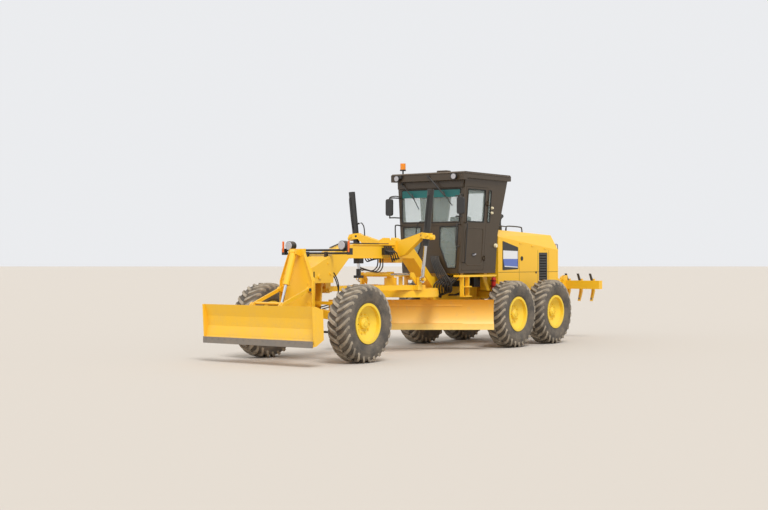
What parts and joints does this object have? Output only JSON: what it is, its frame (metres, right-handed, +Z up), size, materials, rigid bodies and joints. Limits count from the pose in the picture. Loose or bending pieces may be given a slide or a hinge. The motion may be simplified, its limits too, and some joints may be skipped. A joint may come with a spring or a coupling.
{
  "type": "motor grader",
  "caption": "Articulated motor grader with a ring-mounted grading blade, enclosed cab, front blade, rear ripper and tandem drive.",
  "frame": {"origin": "on the ground under the middle of the machine's overall box, blades and ripper included", "axes": "+X towards the front of the machine, +Y to its left, +Z up"},
  "size_m": [10.3564, 2.6828, 3.7303],
  "materials": {
    "yellow_paint": "semi-gloss paint, dusty",
    "cab_paint": "satin dark brown paint",
    "window_glass": "clear, slightly green",
    "black_trim": "matt, fine grain",
    "black_paint": "satin black paint",
    "engine_iron": "rough",
    "amber_lens": "gloss, moulded",
    "polished_chrome": "polished rod",
    "tyre_rubber": "matt, dusty"
  },
  "bodies": {
    "front_frame": {"front_frame": "yellow_paint", "nose_frame": "yellow_paint", "hitch_frame": "yellow_paint", "front_axle": "yellow_paint", "lift_saddle": "yellow_paint", "lamp_bar": "black_paint", "cab_frame": "cab_paint", "cab_roof": "cab_paint", "cab_glass": "window_glass", "seat": "black_trim", "console": "black_trim", "cab_steps": "yellow_paint", "mirrors": "black_paint", "roof_lamps": "amber_lens"},
    "rear_frame": {"rear_frame": "yellow_paint", "tandem_drive": "yellow_paint", "engine": "engine_iron", "hood": "yellow_paint", "hood_grilles": "black_paint"},
    "cab_door_left": {"cab_door_left": "cab_paint", "door_glass_left": "window_glass"},
    "cab_door_right": {"cab_door_right": "cab_paint", "door_glass_right": "window_glass"},
    "lean_bracket_left": {"lean_bracket_left": "yellow_paint"},
    "lean_bracket_right": {"lean_bracket_right": "yellow_paint"},
    "lean_bar": {"lean_bar": "yellow_paint"},
    "knuckle_left": {"knuckle_left": "yellow_paint"},
    "knuckle_right": {"knuckle_right": "yellow_paint"},
    "tie_rod_ball": {"tie_rod_ball": "black_paint"},
    "tie_rod": {"tie_rod": "black_paint"},
    "drawbar": {"drawbar": "yellow_paint"},
    "blade_circle": {"blade_circle": "yellow_paint"},
    "blade_carrier": {"blade_carrier": "yellow_paint"},
    "mouldboard": {"mouldboard": "yellow_paint"},
    "lift_barrel_left": {"lift_barrel_left": "black_paint"},
    "lift_barrel_right": {"lift_barrel_right": "black_paint"},
    "lift_rod_left": {"lift_rod_left": "polished_chrome"},
    "lift_rod_right": {"lift_rod_right": "polished_chrome"},
    "front_blade_arms": {"front_blade_arms": "yellow_paint"},
    "front_blade_links": {"front_blade_links": "yellow_paint"},
    "front_blade": {"front_blade": "yellow_paint"},
    "front_blade_barrel": {"front_blade_barrel": "yellow_paint"},
    "front_blade_rod": {"front_blade_rod": "polished_chrome"},
    "ripper_arms": {"ripper_arms": "yellow_paint"},
    "ripper_links": {"ripper_links": "yellow_paint"},
    "ripper": {"ripper": "yellow_paint"},
    "ripper_barrel": {"ripper_barrel": "black_paint"},
    "ripper_rod": {"ripper_rod": "polished_chrome"},
    "wheel_front_left": {"tyre_front_left": "tyre_rubber", "rim_front_left": "yellow_paint"},
    "wheel_front_right": {"tyre_front_right": "tyre_rubber", "rim_front_right": "yellow_paint"},
    "wheel_middle_left": {"tyre_middle_left": "tyre_rubber", "rim_middle_left": "yellow_paint"},
    "wheel_middle_right": {"tyre_middle_right": "tyre_rubber", "rim_middle_right": "yellow_paint"},
    "wheel_rear_left": {"tyre_rear_left": "tyre_rubber", "rim_rear_left": "yellow_paint"},
    "wheel_rear_right": {"tyre_rear_right": "tyre_rubber", "rim_rear_right": "yellow_paint"}
  },
  "joints": [
    {"name": "articulation", "type": "hinge", "parent": "front_frame", "child": "rear_frame", "pos_m": [-1.43, 0, 1.125], "axis": [0, 0, 1], "range_deg": [-20, 20]},
    {"name": "lean_left", "type": "hinge", "parent": "front_frame", "child": "lean_bracket_left", "pos_m": [3.72, 0.6, 0.77], "axis": [-1, 0, 0], "range_deg": [-18, 18]},
    {"name": "lean_right", "type": "hinge", "parent": "front_frame", "child": "lean_bracket_right", "pos_m": [3.72, -0.6, 0.77], "axis": [-1, 0, 0], "range_deg": [-18.01, 18.01]},
    {"name": "lean_bar_pivot", "type": "hinge", "parent": "lean_bracket_left", "child": "lean_bar", "pos_m": [3.72, 0.6, 1.01], "axis": [-1, 0, 0], "range_deg": [-18.01, 18.01]},
    {"name": "steer_left", "type": "hinge", "parent": "lean_bracket_left", "child": "knuckle_left", "pos_m": [3.72, 0.8, 0.675], "axis": [0, 0, 1], "range_deg": [-40, 40]},
    {"name": "steer_right", "type": "hinge", "parent": "lean_bracket_right", "child": "knuckle_right", "pos_m": [3.72, -0.8, 0.675], "axis": [0, 0, 1], "range_deg": [-40.01, 40.01]},
    {"name": "tie_rod_left_ball", "type": "hinge", "parent": "knuckle_left", "child": "tie_rod_ball", "pos_m": [3.55, 0.8, 0.4897], "axis": [0, 0, 1], "range_deg": [-40.01, 40.01]},
    {"name": "tie_rod_tilt", "type": "hinge", "parent": "tie_rod_ball", "child": "tie_rod", "pos_m": [3.55, 0.8, 0.4897], "axis": [-1, 0, 0], "range_deg": [-13.54, 13.54]},
    {"name": "wheel_front_left_spin", "type": "hinge", "parent": "knuckle_left", "child": "wheel_front_left", "pos_m": [3.72, 1.092, 0.675], "axis": [0, 1, 0], "continuous": true},
    {"name": "wheel_front_right_spin", "type": "hinge", "parent": "knuckle_right", "child": "wheel_front_right", "pos_m": [3.72, -1.092, 0.675], "axis": [0, 1, 0], "continuous": true},
    {"name": "wheel_middle_left_spin", "type": "hinge", "parent": "rear_frame", "child": "wheel_middle_left", "pos_m": [-1.26, 1.092, 0.675], "axis": [0, 1, 0], "continuous": true},
    {"name": "wheel_middle_right_spin", "type": "hinge", "parent": "rear_frame", "child": "wheel_middle_right", "pos_m": [-1.26, -1.092, 0.675], "axis": [0, 1, 0], "continuous": true},
    {"name": "wheel_rear_left_spin", "type": "hinge", "parent": "rear_frame", "child": "wheel_rear_left", "pos_m": [-2.8, 1.092, 0.675], "axis": [0, 1, 0], "continuous": true},
    {"name": "wheel_rear_right_spin", "type": "hinge", "parent": "rear_frame", "child": "wheel_rear_right", "pos_m": [-2.8, -1.092, 0.675], "axis": [0, 1, 0], "continuous": true},
    {"name": "drawbar_lift", "type": "hinge", "parent": "front_frame", "child": "drawbar", "pos_m": [3.33, 0, 1.23], "axis": [0, -1, 0], "range_deg": [0, 20]},
    {"name": "lift_barrel_left_swing", "type": "hinge", "parent": "front_frame", "child": "lift_barrel_left", "pos_m": [1.365, 0.84, 2.22], "axis": [0.8, -0.5958, 0.0707], "range_deg": [-0.01, 3.78]},
    {"name": "lift_rod_left_stroke", "type": "slide", "parent": "lift_barrel_left", "child": "lift_rod_left", "axis": [0.0012, -0.1163, -0.9932], "range_m": [-0.0005, 0.68119]},
    {"name": "lift_barrel_right_swing", "type": "hinge", "parent": "front_frame", "child": "lift_barrel_right", "pos_m": [1.365, -0.84, 2.22], "axis": [-0.8, -0.5958, -0.0707], "range_deg": [-0.01, 3.78]},
    {"name": "lift_rod_right_stroke", "type": "slide", "parent": "lift_barrel_right", "child": "lift_rod_right", "axis": [0.0012, 0.1163, -0.9932], "range_m": [-0.0005, 0.68119]},
    {"name": "circle_turn", "type": "hinge", "parent": "drawbar", "child": "blade_circle", "pos_m": [1.02, 0, 1.12], "axis": [0, 0, 1], "range_deg": [-78.5, 5]},
    {"name": "blade_tip", "type": "hinge", "parent": "blade_circle", "child": "blade_carrier", "pos_m": [0.61937, -0.29916, 0.47], "axis": [-0.5983, 0.8013, 0], "range_deg": [-5, 40]},
    {"name": "blade_slide", "type": "slide", "parent": "blade_carrier", "child": "mouldboard", "axis": [-0.5983, 0.8013, 0], "range_m": [-0.63, 0.51]},
    {"name": "front_blade_lift", "type": "hinge", "parent": "front_frame", "child": "front_blade_arms", "pos_m": [4.19, 0, 0.9], "axis": [0, 1, 0], "range_deg": [0, 31.5]},
    {"name": "front_blade_links_swing", "type": "hinge", "parent": "front_frame", "child": "front_blade_links", "pos_m": [4.19, 0, 1.25], "axis": [0, 1, 0], "range_deg": [-0.01, 31.51]},
    {"name": "front_blade_level", "type": "hinge", "parent": "front_blade_arms", "child": "front_blade", "pos_m": [4.89, 0, 0.65], "axis": [0, 1, 0], "range_deg": [-31.51, 0.01]},
    {"name": "front_blade_barrel_swing", "type": "hinge", "parent": "front_frame", "child": "front_blade_barrel", "pos_m": [4.2, 0, 1.9], "axis": [0, 1, 0], "range_deg": [-0.01, 4.08]},
    {"name": "front_blade_rod_stroke", "type": "slide", "parent": "front_blade_barrel", "child": "front_blade_rod", "axis": [0.3281, 0, -0.9446], "range_m": [-0.0005, 0.17036]},
    {"name": "ripper_lift", "type": "hinge", "parent": "rear_frame", "child": "ripper_arms", "pos_m": [-4.21, 0, 0.62], "axis": [0, -1, 0], "range_deg": [0, 72]},
    {"name": "ripper_links_swing", "type": "hinge", "parent": "rear_frame", "child": "ripper_links", "pos_m": [-4.21, 0, 0.9], "axis": [0, -1, 0], "range_deg": [-0.01, 72.01]},
    {"name": "ripper_level", "type": "hinge", "parent": "ripper_arms", "child": "ripper", "pos_m": [-4.82436, 0, 1.05018], "axis": [0, -1, 0], "range_deg": [-72.01, 0.01]},
    {"name": "ripper_barrel_swing", "type": "hinge", "parent": "rear_frame", "child": "ripper_barrel", "pos_m": [-4.35, 0, 1.48], "axis": [0, -1, 0], "range_deg": [-0.01, 1.09]},
    {"name": "ripper_rod_stroke", "type": "slide", "parent": "ripper_barrel", "child": "ripper_rod", "axis": [-0.0547, 0, -0.9985], "range_m": [-0.0005, 0.25863]},
    {"name": "cab_door_left_swing", "type": "hinge", "parent": "front_frame", "child": "cab_door_left", "pos_m": [-0.864, 0.72434, 1.8], "axis": [0, 0.0743, 0.9972], "range_deg": [0, 85]},
    {"name": "cab_door_right_swing", "type": "hinge", "parent": "front_frame", "child": "cab_door_right", "pos_m": [-0.864, -0.72434, 1.8], "axis": [0, 0.0743, -0.9972], "range_deg": [0, 85]}
  ],
  "couplings": [
    {"joint": "lean_right", "follows": "lean_left", "ratio": 1},
    {"joint": "lean_bar_pivot", "follows": "lean_left", "ratio": -1},
    {"joint": "steer_right", "follows": "steer_left", "ratio": 1},
    {"joint": "tie_rod_left_ball", "follows": "steer_left", "ratio": -1},
    {"joint": "tie_rod_tilt", "follows": "lean_left", "ratio": -0.7516},
    {"joint": "lift_barrel_left_swing", "follows": "drawbar_lift", "ratio": 0.18867},
    {"joint": "lift_rod_left_stroke", "follows": "drawbar_lift", "m_per_rad": 1.95},
    {"joint": "lift_barrel_right_swing", "follows": "drawbar_lift", "ratio": 0.18867},
    {"joint": "lift_rod_right_stroke", "follows": "drawbar_lift", "m_per_rad": 1.95},
    {"joint": "front_blade_links_swing", "follows": "front_blade_lift", "ratio": 1},
    {"joint": "front_blade_level", "follows": "front_blade_lift", "ratio": -1},
    {"joint": "front_blade_barrel_swing", "follows": "front_blade_lift", "ratio": 0.12909},
    {"joint": "front_blade_rod_stroke", "follows": "front_blade_lift", "m_per_rad": 0.30897},
    {"joint": "ripper_links_swing", "follows": "ripper_lift", "ratio": 1},
    {"joint": "ripper_level", "follows": "ripper_lift", "ratio": -1},
    {"joint": "ripper_barrel_swing", "follows": "ripper_lift", "ratio": 0.014951},
    {"joint": "ripper_rod_stroke", "follows": "ripper_lift", "m_per_rad": 0.20541}
  ]
}
